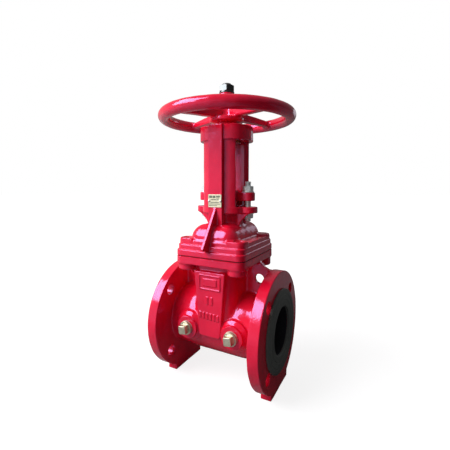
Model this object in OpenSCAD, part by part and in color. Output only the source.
// Flanged outside-screw gate valve, 3 inch (DN 80), rising stem, hand wheel on the stem.
// Frame: X is the flow axis with the inlet at -X, -Y is the front with the pipe plugs,
// +Z is up along the stem. Origin: where the flow axis meets the stem axis.
// The gate is drawn closed.

/* [Flanges and flow way] */
// Face to face length over both raised facings
face_to_face = 203.2; // [195:0.1:215]
// Outside diameter of each end flange
flange_d = 190.5; // [186:0.5:200]
// Thickness of each end flange, without its facing
flange_t = 17.4; // [14:0.1:20]
// Outside diameter of the black facing ring
facing_d = 132.8; // [110:0.1:133]
// Thickness of the facing ring
facing_t = 4; // [2:0.1:5]
// Diameter of the flow way
bore_d = 76.2; // [70:0.1:78]
// Pitch circle of the four flange bolt holes
bolt_pcd = 152.4; // [150:0.1:156]
// Diameter of each bolt hole in the outlet flange
bolt_hole_d = 19; // [18:0.1:19]
// Diameter of each bolt hole in the inlet flange
inlet_hole_d = 18.6; // [18:0.1:19]
// Half width of the flat foot under each flange
foot_half_w = 40; // [20:1:45]
// Depth of the foot's sole below the flow axis
foot_depth = 96.5; // [95.5:0.1:100]

/* [Body] */
// Outside radius of the body's barrel at the middle
barrel_r = 54.8; // [52:0.1:56]
// Half width of the neck along X
neck_hx = 38; // [34:0.5:40]
// Half depth of the neck along Y
neck_hy = 54.2; // [52:0.1:54.6]
// Z of the joint between body and gasket
joint_z = 118.8; // [116:0.1:122]
// Thickness of the body's upper flange
body_flange_t = 12.4; // [10:0.1:14]
// Half width of the joint flange along X
joint_hx = 62; // [59:0.5:63]
// Half depth of the joint flange along Y
joint_hy = 68; // [66:0.5:70]
// Thickness of the bonnet gasket
gasket_t = 1.2; // [0.8:0.1:2]
// X and Y of the joint bolts
joint_bolt = [47, 51.5]; // joint bolt centre
// Diameter of the hole in each lifting web
web_hole_d = 16; // [12:0.5:18]
// Distance of each pipe plug from the stem axis along X
plug_x = 41; // [36:0.5:46]

/* [Bonnet and yoke] */
// Top of the stepped bonnet flange
bonnet_top_z = 145; // [143:0.5:147]
// Half width of the oval yoke along X
yoke_hx = 40.5; // [39:0.5:42]
// Half depth of the oval yoke along Y
yoke_hy = 35; // [33.5:0.5:36]
// Thickness of the yoke's wall
yoke_wall = 9; // [7:0.5:9]
// Half angle of each yoke window, seen from above
window_a = 41; // [30:1:50]
// Bottom of the yoke windows, which is the top of the stuffing box
window_z0 = 198; // [196:0.5:200]
// Top of the yoke windows
window_z1 = 310; // [300:1:312]
// Half width of the yoke's head along X
head_hx = 44.8; // [43:0.1:46]
// Half depth of the yoke's head along Y
head_hy = 38; // [37:0.5:39]
// Bottom of the yoke head's larger collar
head_z0 = 307; // [304:0.5:309]
// Top of the yoke head
head_z1 = 331; // [328:0.5:331.2]
// Half width of the flat strip on the front and back of the yoke
strip_hw = 12.7; // [10:0.1:15]
// Distance of the strip's face from the stem axis
strip_y = 41; // [40:0.1:42]

/* [Stem and gate] */
// Diameter of the stem
stem_d = 22; // [20:0.5:22]
// Radius of the rubber faced gate
gate_r = 43.6; // [41:0.1:43.8]
// Half angle of the gate's wedge, in degrees
wedge_a = 3.25; // [2:0.05:3.5]
// Half thickness of the gate at the flow axis
gate_ht = 17.6; // [16:0.1:17.7]
// Thickness of the rubber on the gate's core
rubber_t = 3.5; // [2:0.1:4]

/* [Gland] */
// Distance of each gland stud from the stem axis
stud_x = 40; // [38:0.5:41]
// Radius of the stuffing box
box_r = 18; // [17:0.1:19]
// Bottom of the packing
packing_z0 = 162; // [160:0.5:164]
// Number of packing rings
packing_n = 4; // [3:1:5]
// Bottom of the gland follower's flange
gland_z0 = 208; // [206:0.5:210]
// Thickness of the gland follower's flange
gland_t = 14; // [12:0.5:15]

/* [Hand wheel] */
// Radius of the rim's centre line
rim_r = 105; // [95:1:115]
// Radius of the rim's round section
rim_tube = 10; // [8:0.1:11]
// Height of the rim's centre line
rim_z = 347.5; // [346:0.5:350]
// Angle of the first of the four spokes
spoke_a = 66.5; // [0:0.5:90]
// Width of each spoke
spoke_w = 14; // [10:0.5:16]

/* [Hidden] */
$fn = 96;
face_x = face_to_face / 2;
flange_x1 = face_x - facing_t;
flange_x0 = flange_x1 - flange_t;
bonnet_z0 = joint_z + gasket_t;
gland_z1 = gland_z0 + gland_t;
stem_r = stem_d / 2;
joint_corner_r = 13;
joint_boss = [45.5, 51.8]; // X and Y of the corner bosses, a little off the bolts
bolt_clear_r = 4.5;
packing_z1 = 190;
ear_z0 = window_z0 - 10;
stud_r = 5;
stud_hole_r = 5.5;
washer_t = 2;
bushing_r = 18;
set_screw_z = 320;

red = [0.72, 0.03, 0.12];
dark_red = [0.45, 0.03, 0.08];
zinc = [0.78, 0.80, 0.80];
black = [0.13, 0.14, 0.14];
bronze = [0.72, 0.52, 0.24];
steel = [0.66, 0.67, 0.68];
packing_grey = [0.25, 0.24, 0.22];
core_grey = [0.35, 0.35, 0.36];
plug_tan = [0.72, 0.70, 0.58];
seal_white = [0.80, 0.78, 0.70];
plate_cream = [0.86, 0.83, 0.68];
guide_white = [0.88, 0.87, 0.82];

// ---------- helpers ----------
// A range along an axis is [low, high]; side is -1 or 1
function both(half) = [-half, half];
function span(side, inner, outer) = side > 0 ? [inner, outer] : [-outer, -inner];
// Outline points put on one side of the Z axis
function on_side(side, pts) = [for (p = pts) [side * p[0], p[1]]];
// Full outline from its +X half
function symmetric(half) = concat(on_side(-1, half), [for (i = [len(half) - 1:-1:0]) half[i]]);
// Rectangle with rounded corners, each in the given number of steps
function round_rect(half_x, half_y, corner_r, steps = 10) = [
  for (q = [0:3]) for (i = [0:steps])
    let (
      a = q * 90 + i * 90 / steps,
      x = (q == 0 || q == 3 ? 1 : -1) * (half_x - corner_r),
      y = (q < 2 ? 1 : -1) * (half_y - corner_r)
    ) [x + corner_r * cos(a), y + corner_r * sin(a)]
];

module x_rod(radius, x, y = 0) {
  translate([x[0], y, 0]) rotate([0, 90, 0]) cylinder(r = radius, h = x[1] - x[0]);
}
module y_rod(radius, y, x = 0, z = 0) {
  translate([x, y[0], z]) rotate([-90, 0, 0]) cylinder(r = radius, h = y[1] - y[0]);
}
module z_rod(radius, z, x = 0, y = 0) {
  translate([x, y, z[0]]) cylinder(r = radius, h = z[1] - z[0]);
}
module block(x, y, z) {
  translate([x[0], y[0], z[0]]) cube([x[1] - x[0], y[1] - y[0], z[1] - z[0]]);
}
// Turns a child's +Z to the front, starting at y
module to_front(y, z = 0) {
  translate([0, y, z]) rotate([90, 0, 0]) children();
}
// Outline in X and Z, thickened along Y
module xz_plate(pts, y) {
  to_front(y[1]) linear_extrude(height = y[1] - y[0]) polygon(pts);
}
// Outline in Y and Z, thickened along X
module yz_plate(pts, x) {
  translate([x[0], 0, 0]) rotate([90, 0, 90]) linear_extrude(height = x[1] - x[0]) polygon(pts);
}
module slab(half_x, half_y, corner_r, z) {
  translate([0, 0, z[0]]) linear_extrude(height = z[1] - z[0])
    polygon(round_rect(half_x, half_y, corner_r));
}
// Oval post: a cylinder about Z with its front and back drawn in by two larger arcs
module oval(half_x, half_y, arc_r, z) {
  intersection() {
    z_rod(half_x, z);
    z_rod(arc_r, z, 0, arc_r - half_y);
    z_rod(arc_r, z, 0, half_y - arc_r);
  }
}
module at_joint_bolts() {
  for (sx = [-1, 1]) for (sy = [-1, 1])
    translate([sx * joint_bolt[0], sy * joint_bolt[1], 0]) children();
}
// Children at +x and -x
module at_pair(x) {
  for (side = [-1, 1]) translate([side * x, 0, 0]) children();
}
// Nut with chamfered corners
module hex_nut(across_flats, hole_r, z) {
  flat_r = across_flats / 2;
  height = z[1] - z[0];
  chamfer = 1.2;
  difference() {
    intersection() {
      z_rod(flat_r / cos(30), z, $fn = 6);
      translate([0, 0, z[0]]) rotate_extrude() polygon([
        [0, 0], [flat_r * 1.02, 0], [flat_r * 1.17, chamfer],
        [flat_r * 1.17, height - chamfer], [flat_r * 1.02, height], [0, height]
      ]);
    }
    z_rod(hole_r, [z[0] - 1, z[1] + 1]);
  }
}

// ---------- body ----------
plug_boss_r = 18.7;
plug_collar_r = 24.5;
plug_seat_y = -64;
plug_hole_r = 10;
cavity_gap = 0.3; // between the gate's face and the body
cavity_hx = 25;   // upper part of the cavity

// Half thickness of the wedge at height z, grown by an offset
function wedge_half_t(z, offset) = gate_ht + z * tan(wedge_a) + offset;

// Outside of the barrel between the flanges, turned about the flow axis
module barrel() {
  // [distance from the stem axis, radius]
  stations = [
    [0, barrel_r], [42, barrel_r], [50, barrel_r - 0.6], [58, barrel_r - 1.8],
    [66, barrel_r - 2.8], [72, barrel_r - 2.8], [76, barrel_r - 1.6],
    [78.6, barrel_r + 0.4], [flange_x0 + 1, barrel_r + 4]
  ];
  pts = concat([for (p = stations) [p[1], p[0]]], [[0, flange_x0 + 1], [0, 0]]);
  for (turn = [0, 180]) rotate([0, 90 + turn, 0]) rotate_extrude() polygon(pts);
}
module flange_plate(side) {
  x = span(side, flange_x0, flange_x1);
  hole_d = side > 0 ? bolt_hole_d : inlet_hole_d;
  difference() {
    union() {
      x_rod(flange_d / 2, x);
      block(x, both(foot_half_w), [-foot_depth, -60]);
    }
    for (a = [45:90:315]) rotate([a, 0, 0])
      x_rod(hole_d / 2, [x[0] - 2, x[1] + 2], bolt_pcd / 2);
  }
}
// Tapered flat pad on the front or back of the neck
module pad(side) {
  xz_plate(symmetric([[28, 96], [19.5, -6], [17, -9]]), span(side, 40, 60.5));
}
// Web between neck and flange
module lifting_web(side) {
  top = joint_z - 8;
  end = flange_x0 + 2;
  pts = [[30, 40], [30, top], [57, top], [66, 106], [71, 100.5], [end, 94], [end, 40]];
  xz_plate(on_side(side, pts), both(4));
}
// Round boss on the front, with a collar that tapers down to it
module plug_boss() {
  y_rod(plug_boss_r, [plug_seat_y, -30]);
  to_front(-44) cylinder(r = plug_collar_r, h = 11.5);
  to_front(-55.4) cylinder(r1 = plug_collar_r, r2 = plug_boss_r, h = 4.6);
}
module gate_cavity() {
  top = joint_z + 1;
  intersection() {
    union() {
      x_rod(45, both(30));
      block(both(30), both(44.5), [0, top]);
      // grooves for the gate's guides
      block(both(6.7), both(48.4), [-12, top]);
    }
    xz_plate(symmetric([
      [wedge_half_t(-50, cavity_gap), -50], [wedge_half_t(47, cavity_gap), 47],
      [cavity_hx, 52], [cavity_hx, top]
    ]), both(50));
  }
}
module body() {
  color(red) difference() {
    union() {
      barrel();
      slab(neck_hx, neck_hy, 22, [0, joint_z - 2]);
      slab(joint_hx, joint_hy, joint_corner_r, [joint_z - body_flange_t, joint_z]);
      // corner bosses, longer at the back
      for (sx = [-1, 1]) for (sy = [-1, 1])
        z_rod(15.5, [sy < 0 ? 95.5 : 91, joint_z - 5], sx * joint_boss[0], sy * joint_boss[1]);
      for (side = [-1, 1]) {
        flange_plate(side);
        pad(side);
        lifting_web(side);
      }
      at_pair(plug_x) plug_boss();
    }
    x_rod(bore_d / 2, both(face_x + 1));
    gate_cavity();
    at_pair(62.5) y_rod(web_hole_d / 2, both(10), 0, 80);
    at_pair(plug_x) y_rod(plug_hole_r, [-66, -30]);
    at_joint_bolts() z_rod(4, [98, joint_z + 1]);
  }
}
// Black facing on a flange
module facing(side) {
  difference() {
    x_rod(facing_d / 2, span(side, flange_x1, face_x));
    x_rod(bore_d / 2, both(face_x + 1));
  }
}
module inlet_facing() { color(black) facing(-1); }
module outlet_facing() { color(black) facing(1); }

// ---------- bonnet ----------
yoke_arc_r = 70;
head_arc_r = 80;
// Flange steps: [inset along X, inset along Y, corner radius, bottom, top]
bonnet_steps = [
  [0, 0, joint_corner_r, bonnet_z0, 129.5],
  [1.5, 3, 12, 129, 138],
  [3, 6.5, 11, 137.5, bonnet_top_z]
];
// Gate space under the dome: [half X, half Y, bottom, top]
gate_space = [[25.5, 48.8, bonnet_z0 - 1, 136], [25, 42, 135, 147], [22, 30, 146, 153]];
// Dome sections: [half X, half Y, z]
dome_layers = [
  [42, 59, 139], [41.6, 58.4, 150], [40, 56.6, 156], [37.5, 53.6, 161],
  [33.6, 49.6, 165.5], [29.2, 45, 168.6], [24, 40, 170.4]
];

module bonnet_step(step, z) {
  slab(joint_hx - step[0], joint_hy - step[1], step[2], z);
}
// Domed cover over the gate space
module dome() {
  hull() for (layer = dome_layers) translate([0, 0, layer[2]]) linear_extrude(height = 0.1)
    polygon(round_rect(layer[0], layer[1], 20, 7));
}
// Windows on both sides along X, leaving the yoke's front and back
module window_cut() {
  reach = 60;
  x = reach * cos(window_a);
  y = reach * sin(window_a);
  for (turn = [0, 180]) rotate([0, 0, turn]) translate([0, 0, window_z0])
    linear_extrude(height = window_z1 - window_z0)
      polygon([[0, 0], [x, -y], [reach * 1.4, 0], [x, y]]);
}
// Ear for a gland stud, with two ribs below
module ear(side) {
  translate([0, 0, ear_z0]) linear_extrude(height = window_z0 - ear_z0) intersection() {
    union() {
      translate([side * stud_x, 0]) circle(r = 16);
      translate([side * (stud_x / 2), 0]) square([stud_x, 27.4], center = true);
    }
    translate([side * 40, 0]) square([60, 40], center = true);
  }
  rib = [[20, 164], [20, 192], [49, 192], [48, 188], [42.5, 184], [34.5, 176.5],
    [30.8, 170], [29, 164]];
  for (rib_side = [-1, 1]) xz_plate(on_side(side, rib), span(rib_side, 9.6, 13.6));
}
// Gusset between the yoke's strip and the bonnet flange, outline in Y and Z
module gusset(side) {
  pts = [[28, 193], [40.5, 197.6], [43.8, 193.8], [82, 136.4], [81.4, 133.6],
    [66.5, 129.4], [66.5, 127.5], [40, 127.5], [28, 160]];
  yz_plate(on_side(side, pts), both(2.5));
}
module bonnet_outside() {
  for (step = bonnet_steps) bonnet_step(step, [step[3], step[4]]);
  // raised corners round the screws
  corner_z = [bonnet_top_z - 1, bonnet_top_z + 3];
  for (sx = [-1, 1]) for (sy = [-1, 1]) intersection() {
    bonnet_step(bonnet_steps[2], corner_z);
    z_rod(17, corner_z, sx * joint_boss[0], sy * joint_boss[1]);
  }
  dome();
  z_rod(30, [160, window_z0]);
  oval(yoke_hx, yoke_hy, yoke_arc_r, [188, head_z0 + 1]);
  oval(head_hx, head_hy, head_arc_r, [head_z0, head_z1]);
  block(both(strip_hw), both(strip_y), [164, head_z1]);
  for (side = [-1, 1]) {
    ear(side);
    gusset(side);
  }
}
module bonnet() {
  color(red) difference() {
    union() bonnet_outside();
    for (space = gate_space) slab(space[0], space[1], 9, [space[2], space[3]]);
    // stem passage, stuffing box and open yoke
    z_rod(15, [150, packing_z0]);
    z_rod(box_r, [packing_z0, window_z0 + 1]);
    oval(yoke_hx - yoke_wall, yoke_hy - yoke_wall, yoke_arc_r, [window_z0, window_z1]);
    window_cut();
    // seat of the yoke bushing and its set screw
    z_rod(bushing_r, [window_z1 - 1, head_z1 + 1]);
    y_rod(3.05, [17, 60], 0, set_screw_z);
    // joint bolts and their counterbores
    at_joint_bolts() z_rod(bolt_clear_r, [bonnet_z0 - 1, 140]);
    at_joint_bolts() z_rod(7.5, [129, 162]);
    at_pair(stud_x) z_rod(stud_hole_r, [180, 200]);
  }
}
module bonnet_gasket() {
  inset = 1.6;
  cut_z = [joint_z - 1, bonnet_z0 + 1];
  color(black) difference() {
    slab(joint_hx - inset, joint_hy - inset, 12, [joint_z, bonnet_z0]);
    slab(27, 50.5, 10, cut_z);
    at_joint_bolts() z_rod(bolt_clear_r, cut_z);
  }
}
// Socket head screws
module bonnet_bolts() {
  color(zinc) at_joint_bolts() difference() {
    union() {
      z_rod(3.95, [100, 130]);
      z_rod(6.5, [129, 137]);
    }
    z_rod(3.5, [132, 139], $fn = 6);
  }
}
// Domed fillings over the screw heads
module bolt_seals() {
  color(dark_red) at_joint_bolts() intersection() {
    z_rod(7.4, [137.1, 143.2]);
    translate([0, 0, 130]) sphere(r = 13.4);
  }
}
module backseat_bush() {
  color(bronze) difference() {
    z_rod(15, [152.8, packing_z0]);
    z_rod(stem_r + 0.08, [150, 165]);
    translate([0, 0, 152.7]) cylinder(r1 = stem_r + 2, r2 = stem_r, h = 2);
  }
}
// Rings with chamfered edges, clear of the stem and the box
module packing_rings() {
  pitch = (packing_z1 - packing_z0) / packing_n;
  inner = stem_r + 0.06;
  inner_edge = stem_r + 0.5;
  outer_edge = box_r - 0.6;
  outer = box_r - 0.1;
  color(packing_grey) for (i = [0:packing_n - 1])
    translate([0, 0, packing_z0 + i * pitch]) rotate_extrude() polygon([
      [inner, 0.5], [inner_edge, 0.1], [outer_edge, 0.1], [outer, 0.6],
      [outer, pitch - 0.6], [outer_edge, pitch - 0.1],
      [inner_edge, pitch - 0.1], [inner, pitch - 0.5]
    ]);
}

// ---------- gland ----------
stud_nut_af = 16;
stud_nut_hole_r = 5.03;

module gland_follower() {
  flange_z = [gland_z0, gland_z1];
  color(red) difference() {
    union() {
      z_rod(25, flange_z);
      block(both(stud_x), both(11.3), flange_z);
      at_pair(stud_x) z_rod(11.6, flange_z);
      // sleeve down to the packing, and a low collar on top
      z_rod(box_r - 0.15, [packing_z1 + 0.1, gland_z0 + 1]);
      z_rod(20, [gland_z1 - 1, gland_z1 + 3]);
    }
    z_rod(stem_r + 0.5, [180, 240]);
    at_pair(stud_x) z_rod(stud_hole_r, [200, 230]);
  }
}
module gland_studs() {
  length = 66;
  chamfer = 0.8;
  color(zinc) at_pair(stud_x) translate([0, 0, 174]) rotate_extrude() polygon([
    [0, 0], [stud_r - chamfer, 0], [stud_r, chamfer],
    [stud_r, length - chamfer], [stud_r - chamfer, length], [0, length]
  ]);
}
module gland_nuts() {
  color(zinc) at_pair(stud_x)
    hex_nut(stud_nut_af, stud_nut_hole_r, [gland_z1 + washer_t, gland_z1 + 10.5]);
}
module gland_washers() {
  color(zinc) at_pair(stud_x) difference() {
    z_rod(10, [gland_z1, gland_z1 + washer_t]);
    z_rod(5.3, [gland_z1 - 1, gland_z1 + 3]);
  }
}
module stud_lower_nuts() {
  color(zinc) at_pair(stud_x) hex_nut(stud_nut_af, stud_nut_hole_r, [ear_z0 - 9, ear_z0]);
}

// ---------- yoke head ----------
module yoke_bushing() {
  color(bronze) difference() {
    union() {
      z_rod(bushing_r, [window_z1 - 2, head_z1]);
      z_rod(23, [window_z1 - 5, window_z1]);
    }
    z_rod(stem_r + 0.05, [300, 340]);
    y_rod(2.5, [15.5, 24], 0, set_screw_z);
  }
}
// Screw in the back of the yoke head, with a thinner point and a hex socket
module bushing_set_screw() {
  color(zinc) difference() {
    union() {
      y_rod(3, [18.3, 38], 0, set_screw_z);
      y_rod(2.4, [15.7, 18.4], 0, set_screw_z);
    }
    to_front(39, set_screw_z) cylinder(r = 1.7, h = 4, $fn = 6);
  }
}

// ---------- body fittings ----------
seal_y = -65.2;   // front face of the plug seals
rivet_x = 10.4;
rivet_z = 208.3;
plate_y = -strip_y - 1; // front face of the nameplate

module pipe_plugs() {
  color(plug_tan) at_pair(plug_x) {
    y_rod(9.95, [-65.5, -47]);
    to_front(seal_y) rotate_extrude()
      polygon([[0, 0], [11, 0], [11, 2.6], [10, 3.6], [0, 3.6]]);
    // square head, turned a little
    translate([0, -73, 0]) rotate([0, 8, 0]) cube([13, 10, 13], center = true);
  }
}
module plug_seals() {
  color(seal_white) at_pair(plug_x) difference() {
    y_rod(12, [seal_y, plug_seat_y]);
    y_rod(10.1, [-70, -60]);
  }
}
module nameplate() {
  color(plate_cream) difference() {
    block(both(12.2), [plate_y, -strip_y], [198.2, 219]);
    at_pair(rivet_x) y_rod(1.25, [plate_y - 1, -strip_y + 1], 0, rivet_z);
  }
}
module nameplate_rivets() {
  color(steel) at_pair(rivet_x) intersection() {
    y_rod(2, [plate_y - 2, plate_y], 0, rivet_z);
    translate([0, -strip_y + 0.6, rivet_z]) sphere(r = 2.7);
  }
}

// ---------- gate ----------
lug_hx = 4;      // side lugs of the core, which carry the guides
lug_y = 45.6;
lug_z = [-6, 36];
tee_r = 12;      // tee foot and neck at the stem's lower end
tee_neck_r = 7.5;
tee_z = [30, 39];

// Round gate with a block above, cut to the wedge's taper
module wedge_form(radius, offset, block_hy, top_z) {
  cut_z = top_z + 5;
  intersection() {
    union() {
      x_rod(radius, both(30));
      block(both(30), both(block_hy), [0, top_z]);
    }
    xz_plate(symmetric([
      [wedge_half_t(-50, offset), -50], [wedge_half_t(cut_z, offset), cut_z]
    ]), both(60));
  }
}
module core_form() { wedge_form(gate_r - rubber_t, -rubber_t, 18.5, 60); }
// Slot for the stem's foot, open to the front
module tee_slot() {
  foot_z = [tee_z[0] - 0.1, tee_z[1] + 0.1];
  neck_z = [38, 70];
  z_rod(tee_r + 0.06, foot_z);
  block(both(12.5), [-50, 0], foot_z);
  z_rod(tee_neck_r + 0.1, neck_z);
  block(both(8), [-50, 0], neck_z);
}
module wedge_core() {
  color(core_grey) difference() {
    union() {
      core_form();
      for (side = [-1, 1]) block(both(lug_hx), span(side, 34, lug_y), lug_z);
    }
    tee_slot();
  }
}
module wedge_rubber() {
  color(black) difference() {
    wedge_form(gate_r, 0, 22, 56);
    core_form();
    for (side = [-1, 1]) block(both(6.2), span(side, 34, 50), [-8, 38]);
    tee_slot();
  }
}
// Caps over the core's lugs
module wedge_guides() {
  color(guide_white) for (turn = [0, 180]) rotate([0, 0, turn]) difference() {
    block(both(6.1), [41, 47.9], [-7.5, 37.5]);
    block(both(lug_hx), [30, lug_y], lug_z);
  }
}

// ---------- stem and hand wheel ----------
square_half = 7.7;  // square on the stem that drives the wheel
square_z0 = 341;
thread_r = 7.95;    // stem's upper end
wheel_hole_r = 8.2;
hub_top = 388;
washer_top = 390.8;

module stem() {
  color(steel) union() {
    z_rod(tee_r, tee_z);
    z_rod(tee_neck_r, [38.5, 61]);
    // collar above the gate
    translate([0, 0, 60.1]) rotate_extrude()
      polygon([[0, 0], [15, 0], [15, 4], [12.5, 7], [0, 7]]);
    z_rod(stem_r, [66, 342]);
    block(both(square_half), both(square_half), [square_z0, 386]);
    z_rod(thread_r, [385, 403.5]);
    translate([0, 0, 403.4]) cylinder(r1 = thread_r, r2 = 6.9, h = 1.1);
  }
}
module handwheel() {
  // both outlines are [distance from the stem axis, z]
  spoke = [[9, 346], [9, 361.5], [24, 360], [60, 357], [rim_r - 1, 353], [rim_r - 1, 343],
    [60, 344.5]];
  hub = [
    [0, 331.8], [16.6, 331.8], [16.9, 338.4], [28.6, 340.6], [29.5, 341.6],
    [29.5, 345.2], [28.8, 346.2], [16.4, 348.4], [14.4, 352.5], [13.7, 357],
    [13.4, 386.5], [12.4, hub_top], [0, hub_top]
  ];
  hole_half = square_half + 0.1;
  color(red) difference() {
    union() {
      translate([0, 0, rim_z]) rotate_extrude() translate([rim_r, 0])
        circle(r = rim_tube, $fn = 48);
      rotate_extrude() polygon(hub);
      for (i = [0:3]) rotate([0, 0, spoke_a + 90 * i]) xz_plate(spoke, both(spoke_w / 2));
    }
    block(both(hole_half), both(hole_half), [square_z0, 390]);
    z_rod(stem_r + 0.05, [330, 342.1]);
    z_rod(wheel_hole_r, [384, 390]);
  }
}
module wheel_washer() {
  color(zinc) difference() {
    z_rod(12.8, [hub_top, washer_top]);
    z_rod(wheel_hole_r, [385, 395]);
  }
}
module wheel_nut() { color(zinc) hex_nut(24, 8.0, [washer_top, 401]); }

body();
inlet_facing();
outlet_facing();
bonnet();
bonnet_gasket();
bonnet_bolts();
bolt_seals();
backseat_bush();
packing_rings();
gland_follower();
gland_studs();
gland_nuts();
gland_washers();
stud_lower_nuts();
yoke_bushing();
bushing_set_screw();
pipe_plugs();
plug_seals();
nameplate();
nameplate_rivets();
wedge_core();
wedge_rubber();
wedge_guides();
stem();
handwheel();
wheel_washer();
wheel_nut();
